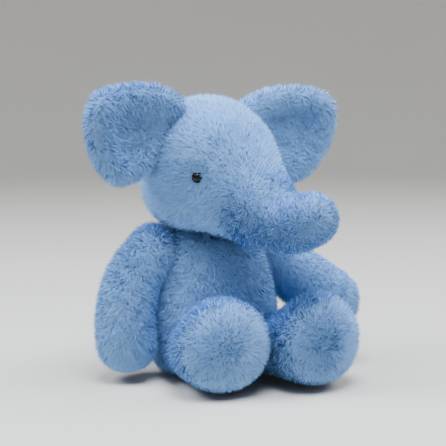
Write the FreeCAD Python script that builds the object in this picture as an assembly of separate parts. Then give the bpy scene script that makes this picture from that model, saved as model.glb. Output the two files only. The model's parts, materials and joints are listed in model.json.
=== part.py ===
import FreeCAD, Part
import math
import os

# A seated stuffed elephant, in millimetres. It faces -Y, +X is its own left and +Z is up.
# The origin is the middle of the flat seat face under the body, on the surface it sits on.
# It is sewn from pile panels over soft filling. Every limb ends in a ball of filling at its
# seam, and the piece that it is sewn to has a matching hollow, so limbs turn on their seams.

V = FreeCAD.Vector

# ---- fabric, gaps and small hardware
PILE_WALL = 5.0          # backing cloth plus combed pile of one panel
SEAM_GAP = 0.6           # air between a limb's ball end and the hollow that it turns in
SEAT_WALL = 3.0          # the seat panel is pressed flatter by the weight on it
BAG_WALL = 1.0           # cloth of the inner bean bags
FLOOR_GAP = 0.3          # legs lie this far above the seat face

# ---- body
BODY_HEIGHT = 112.0
BODY_HALF_WIDTH = 52.0
BODY_HALF_DEPTH = 48.0
SEAT_PANEL_HEIGHT = 9.0
# share of the height, share of the greatest half width: a pear that narrows to the neck
BODY_PROFILE = [(0.0, 0.60), (0.05, 0.78), (0.14, 0.90), (0.28, 0.98), (0.42, 1.0), (0.58, 0.955),
                (0.72, 0.87), (0.85, 0.76), (0.94, 0.62), (1.0, 0.36)]
SEAT_BAG_RADII = V(20.0, 13.0, 8.0)
SEAT_BAG_CENTRE = V(2.0, 20.0, 16.0)

# ---- neck
NECK_PIVOT = V(-2.0, -3.0, BODY_HEIGHT)
NECK_RADIUS = 20.0

# ---- head: an egg whose long axis runs from its middle down towards the trunk
HEAD_RADIUS = 50.0
HEAD_REST = 5.0          # the head's lowest point above the neck's pivot
HEAD_CENTRE = V(-4.0, -4.0, NECK_PIVOT.z + HEAD_REST + HEAD_RADIUS)
HEAD_TURN = 17.0         # the head rests turned this far to its own left
FACE_DROP = 27.0         # degrees that the face's axis points below the horizontal
MUZZLE_LENGTH = 76.0     # head centre to trunk pivot
MUZZLE_RADIUS = 25.5
GUSSET_HALF_WIDTH = 16.0  # the middle panel that runs over the head
NOSE_TRIM = 2.5          # the muzzle's edge stops this far short of the trunk's pivot

# ---- trunk: its middle line is an arc that dips and then curls up
TRUNK_BEND_RADIUS = 51.0
TRUNK_CURL = 24.0        # degrees above the horizontal that its end points
TRUNK_RADII = [24.5, 22.5, 21.5, 21.0]

# ---- eyes
EYE_RADIUS = 4.3
EYE_AZIMUTH = 50.0       # degrees from the middle of the face
EYE_DROP = 9.0           # degrees below the head's middle
EYE_SINK = 2.6           # bead centre below the pile's surface
SHANK_RADIUS = 1.5
SHANK_LENGTH = 13.0
WASHER_RADIUS = 6.0
WASHER_THICKNESS = 1.6
SOCKET_GAP = 0.3

# ---- ears, drawn in the head's own axes as seen from the front: across, up
EAR_RISE = 23.6          # degrees that the ear's root leans over the head
EAR_ROOT_GAP = 3.4       # head surface to the straight root edge
EAR_ROOT_HALF = 29.0     # half the length of the root edge
EAR_PANEL = 5.0          # each of the two panels
EAR_CUP_RADIUS = 90.0
EAR_OUTLINE = [(66, -14), (84, -18), (99, -15), (112, 0), (119, 18), (118, 39), (107, 52),
               (88, 59), (66, 61), (48, 57)]
EAR_CUP_MIDDLE = (86.0, 20.0)
EAR_SETBACK = 2.0        # ear root behind the head's middle
EAR_BLOCK = 120.0        # depth of the block that the ear's curved panels are cut from
RIGHT_EAR_SWEEP = 1.0    # degrees back from straight out
LEFT_EAR_SWEEP = 13.0
EAR_FLAP = 30.0          # degrees forward that the ears are cut back for
EAR_FLAP_STEPS = 4

# ---- arms: centres of the filling from shoulder to paw
RIGHT_ARM = [V(-48, 0, 99), V(-67, -4, 77), V(-75, -8, 52), V(-74, -8, 28)]
LEFT_ARM = [V(45, 2, 95), V(62, -8, 83), V(80, -17, 70), V(96, -25, 57)]
ARM_RADII = [20.5, 21.0, 21.5, 22.0]
RIGHT_ARM_SPLAY = 6.0    # degrees that the right arm's swing leads outwards from straight ahead

# ---- legs: hip and middle of the foot, seen from above
RIGHT_HIP, RIGHT_FOOT = (-26.0, -14.0), (-25.0, -74.0)
LEFT_HIP, LEFT_FOOT = (27.0, -22.0), (48.0, -84.0)
HIP_RADIUS = 22.5
THIGH_RADIUS = 25.0
FOOT_RADIUS = 35.0
FOOT_DEPTH = 26.0        # middle of the foot to the sole
SOLE_START = 12.0        # the sole panel begins this far past the middle of the foot
FOOT_BAG_RADII = V(13.0, 11.0, 17.0)
LEG_LIFT = 20.0          # degrees that the body leaves room for
ROOM_END = (0.92, 0.98)  # the room's end: share of the way to the foot, share of its radius

# ---- tail
TAIL_POINTS = [V(0, 51, 46), V(0, 61, 35), V(0, 66.5, 22), V(0, 68.5, 13)]
TAIL_RADII = [6.5, 6.5, 7.0, 7.5]
TAIL_WALL = 3.0

# ---- small sewn pieces
LABEL_SIZE = V(17.0, 0.9, 13.0)   # out of the seam, thick, high
LABEL_TUCK = 6.0                  # further into the seam, before the body is cut from it
LABEL_BEARING = 34.0              # degrees round from +X towards the back
LABEL_BASE = 9.0
STITCH_RADIUS = 0.5
STITCH_LENGTH = 5.0
STITCH_COUNT = 8
STITCH_PITCH = 5.0
STITCH_MIDDLE = 62.0
STITCH_RAY_START = 10.0           # behind the body's middle, clear of every hollow

# ---- modelling steps
CAP_TURNS = (85.0, 72.0, 58.0, 44.0, 30.0, 15.0)   # circles that round a limb's end, degrees
SPAN_STEPS = 3           # circles in each span between a limb's given points
ROOM_STEPS = 18          # points on the edge of the room that a swinging arm needs
BIG = 400.0              # longer than anything here


def unit(v):
    return v * (1.0 / v.Length)


def circle_wire(centre, normal, radius):
    return Part.Wire(Part.makeCircle(radius, centre, normal))


def limb_stations(points, radii):
    """Points along a smooth line, its ways there, and radii eased between the given ones."""
    spine = Part.BSplineCurve()
    spine.interpolate([V(p) for p in points])
    stops = [spine.parameter(p) for p in points]
    stations = []
    for n in range(len(points) - 1):
        for step in range(SPAN_STEPS + (n == len(points) - 2)):
            share = step / SPAN_STEPS
            t = stops[n] + (stops[n + 1] - stops[n]) * share
            stations.append((spine.value(t), unit(spine.tangent(t)[0]),
                             radii[n] + (radii[n + 1] - radii[n]) * share))
    return stations


def cap(centre, way, radius, side):
    """Circles of a half ball, in order along way: side is -1 for the end that way leads from
    and 1 for the end that it leads to."""
    circles = []
    for turn in CAP_TURNS[::-side]:
        a = math.radians(turn)
        circles.append(circle_wire(centre + way * (side * radius * math.sin(a)), way,
                                   radius * math.cos(a)))
    return circles


def limb(points, radii, inset=0.0):
    """A round limb with ball ends: circles set square to a smooth line through the points,
    closed at both ends by short rows of shrinking circles."""
    stations = limb_stations(points, radii)
    start, start_way, first_radius = stations[0]
    end, end_way, last_radius = stations[-1]
    sections = cap(start, start_way, first_radius - inset, -1)
    sections += [circle_wire(at, way, radius - inset) for at, way, radius in stations]
    sections += cap(end, end_way, last_radius - inset, 1)
    return Part.makeLoft(sections, True, False)


def swing_room(points, radii, axis, extra):
    """The room that a swinging limb needs. Balls of its radius and the extra are set along it,
    and the inner edge of them all, seen along with the joint's axis, is turned about it."""
    spots = []
    for at, way, radius in limb_stations(points, radii):
        arm = at - points[0]
        along = arm.dot(axis)
        spots.append(((arm - axis * along).Length, along, radius + extra))
    reach = max(away + radius for away, along, radius in spots) - extra
    edge = []
    for n in range(ROOM_STEPS + 1):
        away = reach * n / ROOM_STEPS
        edge.append(V(away, 0, min(along - math.sqrt(radius ** 2 - (away - spot) ** 2)
                                   for spot, along, radius in spots
                                   if abs(away - spot) < radius)))
    curve = Part.BSplineCurve()
    curve.interpolate(edge)
    rim = Part.makePolygon([edge[-1], V(reach, 0, BIG / 2), V(0, 0, BIG / 2), edge[0]])
    face = Part.Face(Part.Wire([curve.toShape()] + rim.Edges))
    solid = face.revolve(V(0, 0, 0), V(0, 0, 1), 360)
    return placed(solid if solid.Volume > 0 else solid.reversed(), axis, points[0])


def turned(profile):
    """A solid turned about +Z from a smooth outline of (radius, height) points whose first
    and last points lie on the axis."""
    points = [V(r, 0, z) for r, z in profile]
    outline = Part.BSplineCurve()
    outline.interpolate(points, InitialTangent=V(1, 0, 0), FinalTangent=V(-1, 0, 0))
    axis = Part.makeLine(points[-1], points[0])
    face = Part.Face(Part.Wire([outline.toShape(), axis]))
    solid = face.revolve(V(0, 0, 0), V(0, 0, 1), 360)
    return solid if solid.Volume > 0 else solid.reversed()


def placed(shape, way, at):
    """The shape with its own +Z laid along way and its origin moved to at."""
    out = shape.copy()
    out.Placement = FreeCAD.Placement(at, FreeCAD.Rotation(V(0, 0, 1), way)).multiply(
        out.Placement)
    return out


def ball(centre, radius):
    return Part.makeSphere(radius, centre)


def ellipsoid(centre, radii):
    matrix = FreeCAD.Matrix()
    matrix.scale(radii)
    return Part.makeSphere(1.0).transformGeometry(matrix).translated(centre)


def half_space(point, normal):
    """A block that fills the side of the plane that its normal points to."""
    block = Part.makeBox(2 * BIG, 2 * BIG, BIG, V(-BIG, -BIG, 0))
    return placed(block, normal, point)


def slab(point, normal, low, high):
    block = Part.makeBox(2 * BIG, 2 * BIG, high - low, V(-BIG, -BIG, low))
    return placed(block, normal, point)


def trunk_line():
    """The trunk's middle line from its pivot, in the head's own axes: four points on an arc
    that starts along the face's axis and ends at the curl."""
    drop, curl = math.radians(FACE_DROP), math.radians(TRUNK_CURL)
    start = V(0, -MUZZLE_LENGTH * math.cos(drop), -MUZZLE_LENGTH * math.sin(drop))
    points = []
    for share in (0.0, 1 / 3, 2 / 3, 1.0):
        pitch = -drop + (drop + curl) * share
        points.append(start + V(0, -TRUNK_BEND_RADIUS * (math.sin(pitch) + math.sin(drop)),
                                TRUNK_BEND_RADIUS * (math.cos(drop) - math.cos(pitch))))
    return points


def in_head(v):
    """A point given in the head's own axes, moved to the elephant's."""
    return HEAD_CENTRE + FreeCAD.Rotation(V(0, 0, 1), HEAD_TURN).multVec(V(v))


def head_way(v):
    return FreeCAD.Rotation(V(0, 0, 1), HEAD_TURN).multVec(V(v))


def body_pear(inset, seat_inset):
    """Ellipses stacked up the pear's profile."""
    height = BODY_HEIGHT - inset - seat_inset
    rings = []
    for up, out in BODY_PROFILE:
        level = seat_inset + height * up
        a, b = BODY_HALF_WIDTH * out - inset, BODY_HALF_DEPTH * out - inset
        rings.append(Part.Wire(Part.Ellipse(V(0, 0, level), a, b).toShape()))
    return Part.makeLoft(rings, True, False)


def head_egg(inset):
    """The head and muzzle, turned about the face's axis."""
    r, m = HEAD_RADIUS - inset, MUZZLE_RADIUS - inset
    back = [(r * math.sin(math.radians(a)), -r * math.cos(math.radians(a)))
            for a in (0, 20, 45, 70)]
    neb = MUZZLE_LENGTH
    front = [(r, 0.0), (0.945 * r, 0.24 * neb), (0.80 * r, 0.44 * neb),
             (0.5 * (0.80 * r + m) - 1.5, 0.68 * neb), (m, neb - 2.0),
             (0.55 * m, neb + 0.45 * m), (0.0, neb + 0.55 * m)]
    drop = math.radians(FACE_DROP)
    way = head_way(V(0, -math.cos(drop), -math.sin(drop)))
    return placed(turned(back + front), way, HEAD_CENTRE)


def hip_centre(hip):
    return V(hip[0], hip[1], HIP_RADIUS + FLOOR_GAP)


def leg_way(hip, foot):
    """A leg's way along the floor, and how far its foot's middle is from the hip."""
    reach = V(foot[0] - hip[0], foot[1] - hip[1], 0)
    return unit(reach), reach.Length


def leg_solid(hip, foot, inset):
    """A leg that lies on the floor: a hip ball, a thigh that widens, and a round foot."""
    way, run = leg_way(hip, foot)
    stations = [(0.0, HIP_RADIUS), (0.30 * run, 0.5 * (HIP_RADIUS + THIGH_RADIUS)),
                (0.55 * run, THIGH_RADIUS + 1.0), (0.80 * run, 0.90 * FOOT_RADIUS),
                (run, FOOT_RADIUS), (run + 0.40 * FOOT_DEPTH, 0.955 * FOOT_RADIUS),
                (run + 0.72 * FOOT_DEPTH, 0.80 * FOOT_RADIUS),
                (run + 0.92 * FOOT_DEPTH, 0.56 * FOOT_RADIUS),
                (run + FOOT_DEPTH, 0.26 * FOOT_RADIUS)]
    sections = cap(hip_centre(hip), way, HIP_RADIUS - inset, -1)
    for s, radius in stations:
        # the middle rises with the radius as far as the foot and stays level through the sole
        level = radius if s <= run else FOOT_RADIUS
        pull = inset * max(0.0, s - run) / FOOT_DEPTH
        shrink = min(inset, 0.55 * radius)
        centre = V(hip[0], hip[1], level + FLOOR_GAP) + way * (s - pull)
        sections.append(circle_wire(centre, way, radius - shrink))
    return Part.makeLoft(sections, True, False)


def thigh_room(hip, foot, extra):
    """The room that a thigh needs: a cone round it, from the hip to where the foot is almost
    at its full size, where it lies and at two steps of its lift."""
    way, run = leg_way(hip, foot)
    wide = ROOM_END[1] * FOOT_RADIUS
    end = V(hip[0], hip[1], wide + FLOOR_GAP) + way * (ROOM_END[0] * run)
    reach = end - hip_centre(hip)
    cone = placed(Part.makeCone(HIP_RADIUS + extra, wide + extra, reach.Length), reach,
                  hip_centre(hip))
    cones = []
    for share in (0.0, 0.5, 1.0):
        lifted = cone.copy()
        lifted.rotate(hip_centre(hip), way.cross(V(0, 0, 1)), LEG_LIFT * share)
        cones.append(lifted)
    return cones


def ear_solid(side, sweep):
    """One cupped ear as its front and back panels, and the root's middle and direction."""
    lean = math.radians(EAR_RISE)
    out, along = V(math.cos(lean), 0, math.sin(lean)), V(-math.sin(lean), 0, math.cos(lean))
    root = out * (HEAD_RADIUS + EAR_ROOT_GAP)
    low, high = root - along * EAR_ROOT_HALF, root + along * EAR_ROOT_HALF
    rim = [low] + [V(x, 0, z) for x, z in EAR_OUTLINE] + [high]
    curve = Part.BSplineCurve()
    curve.interpolate(rim)
    face = Part.Face(Part.Wire([curve.toShape(), Part.makeLine(high, low)]))
    block = face.extrude(V(0, EAR_BLOCK, 0)).translated(V(0, -EAR_BLOCK / 2, 0))
    middle = V(EAR_CUP_MIDDLE[0], -EAR_CUP_RADIUS, EAR_CUP_MIDDLE[1])
    front_ball = ball(middle, EAR_CUP_RADIUS - EAR_PANEL)
    mid_ball = ball(middle, EAR_CUP_RADIUS)
    back_ball = ball(middle, EAR_CUP_RADIUS + EAR_PANEL)
    panels = {"front": block.common(mid_ball).cut(front_ball),
              "back": block.common(back_ball).cut(mid_ball)}
    hinge = FreeCAD.Rotation(V(0, 0, 1), -sweep)
    for name, panel in panels.items():
        panel.rotate(root, V(0, 0, 1), -sweep)
        panel.translate(V(0, EAR_SETBACK, 0))
        if side < 0:
            panel = panel.mirror(V(0, 0, 0), V(1, 0, 0))
        panel = panel.copy()
        panel.rotate(V(0, 0, 0), V(0, 0, 1), HEAD_TURN)
        panel.translate(HEAD_CENTRE)
        panels[name] = panel
    pivot = V(side * root.x, EAR_SETBACK, root.z)
    lie = hinge.multVec(along)
    return panels, in_head(pivot), head_way(V(side * lie.x, lie.y, lie.z))


def clear_of_head(panel, pivot, axis):
    """An ear's panel cut back by the head, as the head lies to it while it flaps forward."""
    for step in range(EAR_FLAP_STEPS + 1):
        head = head_egg(-SEAM_GAP)
        head.rotate(pivot, axis, -EAR_FLAP * step / EAR_FLAP_STEPS)
        panel = panel.cut(head)
    return panel


def split(shell, point, normal, names):
    """The two halves of a shell either side of a plane, the first on the normal's side."""
    keep = half_space(point, normal)
    return {names[0]: shell.common(keep), names[1]: shell.cut(keep)}


def along_ray(solid, start, way):
    """How far a ray from inside a solid runs before it comes out."""
    return solid.common(Part.makeLine(start, start + way * BIG)).Length


def bean_bag(centre, radii):
    """A sewn bag and the beans that fill it."""
    bag = ellipsoid(centre, radii)
    beans = ellipsoid(centre, radii - V(BAG_WALL, BAG_WALL, BAG_WALL))
    return bag, bag.cut(beans), beans


def body_hollows(extra):
    """What is cut from the body for its neck and limbs, with this much air round them."""
    hollows = [ball(NECK_PIVOT, NECK_RADIUS + extra),
               ball(TAIL_POINTS[0], TAIL_RADII[0] + extra)]
    for points, axis in ((RIGHT_ARM, right_arm_axis()), (LEFT_ARM, V(1, 0, 0))):
        hollows.append(ball(points[0], ARM_RADII[0] + extra))
        hollows.append(swing_room(points, ARM_RADII, axis, extra))
    for hip, foot in ((RIGHT_HIP, RIGHT_FOOT), (LEFT_HIP, LEFT_FOOT)):
        hollows.append(ball(hip_centre(hip), HIP_RADIUS + extra))
        hollows += thigh_room(hip, foot, extra)
    return hollows


def body_nodes():
    """The body's three panels, its filling and its seat bag, cleared for the limbs."""
    outer = body_pear(0.0, 0.0)
    inner = body_pear(PILE_WALL, SEAT_WALL)
    for hollow in body_hollows(SEAM_GAP):
        outer = outer.cut(hollow)
    for hollow in body_hollows(SEAM_GAP + PILE_WALL):
        inner = inner.cut(hollow)
    shell = outer.cut(inner)
    seat = Part.makeBox(2 * BIG, 2 * BIG, SEAT_PANEL_HEIGHT, V(-BIG, -BIG, 0))
    above = shell.cut(seat)
    nodes = split(above, V(0, 0, 0), V(0, -1, 0), ("body_front_panel", "body_back_panel"))
    nodes["seat_panel"] = shell.common(seat)
    bag, cloth, beans = bean_bag(SEAT_BAG_CENTRE, SEAT_BAG_RADII)
    nodes["body_filling"] = inner.cut(bag)
    nodes["seat_bean_bag"] = cloth
    nodes["seat_beans"] = beans
    stitches = []
    for n in range(STITCH_COUNT):
        level = STITCH_MIDDLE + STITCH_PITCH * (n - STITCH_COUNT / 2)
        reach = along_ray(outer, V(0, STITCH_RAY_START, level), V(0, 1, 0))
        at = V(-STITCH_LENGTH / 2, STITCH_RAY_START + reach - 2 * STITCH_RADIUS, level)
        stitches.append(Part.makeCylinder(STITCH_RADIUS, STITCH_LENGTH, at, V(1, 0, 0)))
    nodes["closing_stitches"] = Part.makeCompound(stitches)
    nodes["body_back_panel"] = nodes["body_back_panel"].cut(stitches)
    bearing = math.radians(LABEL_BEARING)
    way = V(math.cos(bearing), math.sin(bearing), 0)
    middle_level = V(0, 0, LABEL_BASE + LABEL_SIZE.z / 2)
    reach = along_ray(outer, middle_level, way)
    tag = Part.makeBox(LABEL_SIZE.x + LABEL_TUCK, LABEL_SIZE.y, LABEL_SIZE.z,
                       V(reach - LABEL_TUCK, -LABEL_SIZE.y / 2, LABEL_BASE))
    tag.rotate(V(0, 0, 0), V(0, 0, 1), LABEL_BEARING)
    nodes["care_label"] = tag.cut(outer)
    return nodes


def head_nodes():
    """The head's panels and filling, its eyes and the washers that lock them."""
    neck = ball(NECK_PIVOT, NECK_RADIUS + SEAM_GAP)
    pivot = in_head(trunk_line()[0])
    trunk_end = ball(pivot, TRUNK_RADII[0] + SEAM_GAP)
    nose = unit(pivot - HEAD_CENTRE)
    nose_cut = half_space(pivot - nose * NOSE_TRIM, nose)
    outer = head_egg(0.0).cut([neck, trunk_end, nose_cut])
    inner = head_egg(PILE_WALL).cut(
        [ball(NECK_PIVOT, NECK_RADIUS + SEAM_GAP + PILE_WALL),
         ball(pivot, TRUNK_RADII[0] + SEAM_GAP + PILE_WALL),
         nose_cut])
    shell = outer.cut(inner)
    nodes = {}
    for side, name in ((-1, "right"), (1, "left")):
        turn, drop = math.radians(EYE_AZIMUTH), math.radians(EYE_DROP)
        way = head_way(V(side * math.sin(turn) * math.cos(drop),
                         -math.cos(turn) * math.cos(drop), -math.sin(drop)))
        surface = along_ray(head_egg(0.0), HEAD_CENTRE, way)
        centre = HEAD_CENTRE + way * (surface - EYE_SINK)
        bead = ball(centre, EYE_RADIUS)
        shank = placed(Part.makeCylinder(SHANK_RADIUS, SHANK_LENGTH), way * -1.0, centre)
        back = centre - way * (EYE_RADIUS + PILE_WALL)
        washer = placed(Part.makeCylinder(WASHER_RADIUS, WASHER_THICKNESS), way * -1.0, back)
        socket = placed(Part.makeCylinder(EYE_RADIUS + SOCKET_GAP, 3 * EYE_RADIUS), way,
                        centre)
        pocket = ball(centre, EYE_RADIUS + SOCKET_GAP)
        eye = bead.fuse(shank)
        nodes[name + "_eye"] = eye
        nodes[name + "_eye_washer"] = washer.cut(eye)
        shell = shell.cut([socket, pocket, eye, washer])
        inner = inner.cut([pocket, eye, washer])
    nodes["head_filling"] = inner
    across = head_way(V(1, 0, 0))
    middle = slab(HEAD_CENTRE, across, -GUSSET_HALF_WIDTH, GUSSET_HALF_WIDTH)
    nodes["head_centre_panel"] = shell.common(middle)
    sides = shell.cut(middle)
    nodes.update(split(sides, HEAD_CENTRE, across, ("head_left_panel", "head_right_panel")))
    return nodes


def trunk_nodes():
    points = [in_head(p) for p in trunk_line()]
    outer, inner = limb(points, TRUNK_RADII), limb(points, TRUNK_RADII, PILE_WALL)
    nodes = split(outer.cut(inner), HEAD_CENTRE, head_way(V(1, 0, 0)),
                  ("trunk_left_panel", "trunk_right_panel"))
    nodes["trunk_filling"] = inner
    return nodes


def arm_nodes(side, points):
    """An arm's outer and inner panels and its filling, parted along the arm."""
    outer, inner = limb(points, ARM_RADII), limb(points, ARM_RADII, PILE_WALL)
    chord = points[-1] - points[0]
    facing = V(-chord.z, 0, chord.x) if chord.x > 0 else V(chord.z, 0, -chord.x)
    middle = (points[0] + points[1] + points[2] + points[3]) * 0.25
    nodes = split(outer.cut(inner), middle, unit(facing),
                  (side + "_arm_outer_panel", side + "_arm_inner_panel"))
    nodes[side + "_arm_filling"] = inner
    return nodes


def leg_nodes(side, hip, foot):
    """A leg's upper and lower panels, its sole, its filling and the bag of beans in it."""
    way, run = leg_way(hip, foot)
    outer, inner = leg_solid(hip, foot, 0.0), leg_solid(hip, foot, PILE_WALL)
    shell = outer.cut(inner)
    middle = V(foot[0], foot[1], FOOT_RADIUS + FLOOR_GAP)
    past = half_space(middle + way * SOLE_START, way)
    slope = unit(middle - hip_centre(hip))
    up = unit(V(0, 0, 1) - slope * slope.z)
    nodes = split(shell.cut(past), hip_centre(hip), up,
                  (side + "_leg_upper_panel", side + "_leg_lower_panel"))
    nodes[side + "_foot_sole"] = shell.common(past)
    bag, cloth, beans = bean_bag(middle - V(0, 0, 0.2 * FOOT_RADIUS), FOOT_BAG_RADII)
    nodes[side + "_leg_filling"] = inner.cut(bag)
    nodes[side + "_foot_bean_bag"] = cloth
    nodes[side + "_foot_beans"] = beans
    return nodes


def tail_nodes():
    outer, inner = limb(TAIL_POINTS, TAIL_RADII), limb(TAIL_POINTS, TAIL_RADII, TAIL_WALL)
    return {"tail_cover": outer.cut(inner), "tail_filling": inner}


def right_arm_axis():
    """The right arm's swing axis, out of the body. It is turned so that the arm splays."""
    splay = math.radians(RIGHT_ARM_SPLAY)
    return V(-math.cos(splay), math.sin(splay), 0)


def build():
    """Every node by name, and every joint's pivot and axis."""
    nodes = body_nodes()
    nodes["neck_filling"] = ball(NECK_PIVOT, NECK_RADIUS)
    nodes.update(head_nodes())
    nodes.update(trunk_nodes())
    joints = {"head_turn": (NECK_PIVOT, V(0, 0, 1)),
              "head_nod": (NECK_PIVOT, head_way(V(-1, 0, 0))),
              "trunk_curl": (in_head(trunk_line()[0]), head_way(V(1, 0, 0))),
              "right_arm_swing": (RIGHT_ARM[0], right_arm_axis()),
              "left_arm_swing": (LEFT_ARM[0], V(-1, 0, 0)),
              "tail_lift": (TAIL_POINTS[0], V(1, 0, 0))}
    for side, name, sweep in ((-1, "right", RIGHT_EAR_SWEEP), (1, "left", LEFT_EAR_SWEEP)):
        panels, pivot, lie = ear_solid(side, sweep)
        axis = lie * float(-side)
        for face, panel in panels.items():
            nodes[name + "_ear_" + face + "_panel"] = clear_of_head(panel, pivot, axis)
        joints[name + "_ear_flap"] = (pivot, axis)
    nodes.update(arm_nodes("right", RIGHT_ARM))
    nodes.update(arm_nodes("left", LEFT_ARM))
    for name, hip, foot in (("right", RIGHT_HIP, RIGHT_FOOT), ("left", LEFT_HIP, LEFT_FOOT)):
        nodes.update(leg_nodes(name, hip, foot))
        joints[name + "_leg_lift"] = (hip_centre(hip), leg_way(hip, foot)[0].cross(V(0, 0, 1)))
    nodes.update(tail_nodes())
    return nodes, joints


def main():
    nodes, joints = build()
    os.makedirs("parts", exist_ok=True)
    for name, shape in nodes.items():
        shape.exportStep("parts/" + name + ".step")
        box = shape.BoundBox
        print(f"{name:26s} {len(shape.Solids)} solid(s) {shape.Volume:10.0f} mm3 "
              f"z {box.ZMin:6.1f} to {box.ZMax:6.1f} valid {shape.isValid()}")
    for name, (at, way) in joints.items():
        print(f"joint {name}: {at.x:.3f} {at.y:.3f} {at.z:.3f} "
              f"axis {way.x:.5f} {way.y:.5f} {way.z:.5f}")


main()
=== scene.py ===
import json
import math

import bpy
import numpy as np
from mathutils import Matrix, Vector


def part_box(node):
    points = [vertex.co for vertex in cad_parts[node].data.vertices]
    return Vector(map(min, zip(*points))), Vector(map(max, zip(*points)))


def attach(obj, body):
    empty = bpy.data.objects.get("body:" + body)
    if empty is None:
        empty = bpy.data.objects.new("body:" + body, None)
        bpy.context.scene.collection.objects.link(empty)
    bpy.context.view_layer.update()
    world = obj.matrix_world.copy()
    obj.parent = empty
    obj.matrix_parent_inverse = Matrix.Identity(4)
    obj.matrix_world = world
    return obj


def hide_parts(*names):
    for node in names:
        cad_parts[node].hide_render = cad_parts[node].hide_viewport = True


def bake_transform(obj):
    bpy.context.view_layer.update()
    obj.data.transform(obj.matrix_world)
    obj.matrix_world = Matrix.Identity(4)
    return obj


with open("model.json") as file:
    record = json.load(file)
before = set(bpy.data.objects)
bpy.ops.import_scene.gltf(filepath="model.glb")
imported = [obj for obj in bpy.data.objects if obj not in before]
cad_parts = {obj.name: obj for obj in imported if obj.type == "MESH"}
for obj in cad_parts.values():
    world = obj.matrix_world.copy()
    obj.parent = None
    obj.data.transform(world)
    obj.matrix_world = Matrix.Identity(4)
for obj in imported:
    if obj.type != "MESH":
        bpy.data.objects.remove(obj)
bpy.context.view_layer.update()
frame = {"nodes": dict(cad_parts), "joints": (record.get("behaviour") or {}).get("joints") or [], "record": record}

# A seated stuffed elephant. Backing cloth is made as closed padded skins just under the
# surface of the plain soft solids, and the long pile is grown on them as separate fibres.
# Lengths are in metres. "Head axes" are x to its left, y backwards, z up, from its middle.

MM = 0.001
JOINT = {j["name"]: j for j in frame["joints"]}


def vec(*values):
    return np.array(values, float)


def unit(v):
    """Each row of v divided by its length."""
    v = np.asarray(v, float)
    return v / np.maximum(np.linalg.norm(v, axis=-1, keepdims=True), 1e-12)


def pivot(name):
    return np.array(JOINT[name]["pos_m"], float)


# ---------------------------------------------------------------- sizes
CLOTH_INSET = 3.4 * MM       # backing cloth below the plain solids' surface
PILE = 8.2 * MM              # a straight fibre of the pile
FIBRE_WIDTH = 0.40 * MM      # at its widest, halfway along
PILE_DENSITY = 4.0e6         # fibres on a square metre of cloth

FIBRE_LEAN = 0.54            # how far a fibre bends along its flow
TUFT = 0.34                  # how far fibres draw together into locks
BIG_LOCK = 11 * MM           # wavelengths of the two fields that gather the fibres
SMALL_LOCK = 3.6 * MM

LENS = 93.7
CAMERA_AZIMUTH = -25         # degrees round from the front, to the elephant's right
CAMERA_ELEVATION = 8.5
CAMERA_DISTANCE = 0.900
CAMERA_MIDDLE = vec(0, -0.030, 0.100)
CAMERA_SHIFT = vec(-0.0014, 0.0026, 0.0215)    # from that middle to where it points
LIGHT_TARGET = vec(0, 0, 0.11)
FLOOR_FLAT = 1.9             # radius of the floor's flat part
FLOOR_CURVE = 1.3            # radius of the quarter circle that turns it up into a wall
FLOOR_AROUND = 96

FACE_DROP = math.radians(27)
HEAD_RADIUS = 50 * MM
MUZZLE_RADIUS = 25.5 * MM
MUZZLE_LENGTH = 76 * MM
TRUNK_BEND_RADIUS = 51 * MM
TRUNK_CURL = math.radians(24)
TRUNK_RADII = vec(24.5, 22.5, 21.5, 21.0) * MM
TRUNK_INSET = 4.2 * MM

ACROSS = -unit(np.array(JOINT["head_nod"]["axis"], float))
FORWARD = unit(np.cross(ACROSS, vec(0, 0, 1)))
UP = vec(0, 0, 1)
FACE_WAY = FORWARD * math.cos(FACE_DROP) - UP * math.sin(FACE_DROP)
TRUNK_PIVOT = pivot("trunk_curl")
HEAD = TRUNK_PIVOT - FACE_WAY * MUZZLE_LENGTH


def in_head(points):
    """Points given in head axes, moved to the elephant's."""
    p = np.asarray(points, float)
    return HEAD + p[..., :1] * ACROSS - p[..., 1:2] * FORWARD + p[..., 2:3] * UP


# ---------------------------------------------------------------- camera, lights, floor
def look_at(obj, eye, target):
    """Turns an object at eye so that its own -Z points at target."""
    back = unit(np.asarray(eye) - np.asarray(target))
    side = unit(np.cross(UP, back))
    top = np.cross(back, side)
    turn = Matrix(np.stack([side, top, back], 1).tolist()).to_4x4()
    obj.matrix_world = Matrix.Translation(eye.tolist()) @ turn


def aim(azimuth, elevation, distance, middle):
    """The place at that distance from middle; azimuth 0 is in front and 90 is to the left."""
    a, e = math.radians(azimuth), math.radians(elevation)
    way = vec(math.sin(a) * math.cos(e), -math.cos(a) * math.cos(e), math.sin(e))
    return middle + way * distance


def make_camera():
    data = bpy.data.cameras.new("camera")
    data.lens = LENS
    data.sensor_width = 36.0
    data.clip_end = 20.0
    camera = bpy.data.objects.new("camera", data)
    bpy.context.scene.collection.objects.link(camera)
    eye = aim(CAMERA_AZIMUTH, CAMERA_ELEVATION, CAMERA_DISTANCE, CAMERA_MIDDLE)
    look_at(camera, eye, CAMERA_MIDDLE + CAMERA_SHIFT)
    bpy.context.scene.camera = camera


def add_light(name, azimuth, elevation, distance, size, power, colour):
    """A round soft light that faces the elephant, of size metres and power watts."""
    data = bpy.data.lights.new(name, "AREA")
    data.shape = "DISK"
    data.size = size
    data.energy = power
    data.color = colour
    lamp = bpy.data.objects.new(name, data)
    bpy.context.scene.collection.objects.link(lamp)
    look_at(lamp, aim(azimuth, elevation, distance, LIGHT_TARGET), LIGHT_TARGET)


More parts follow.
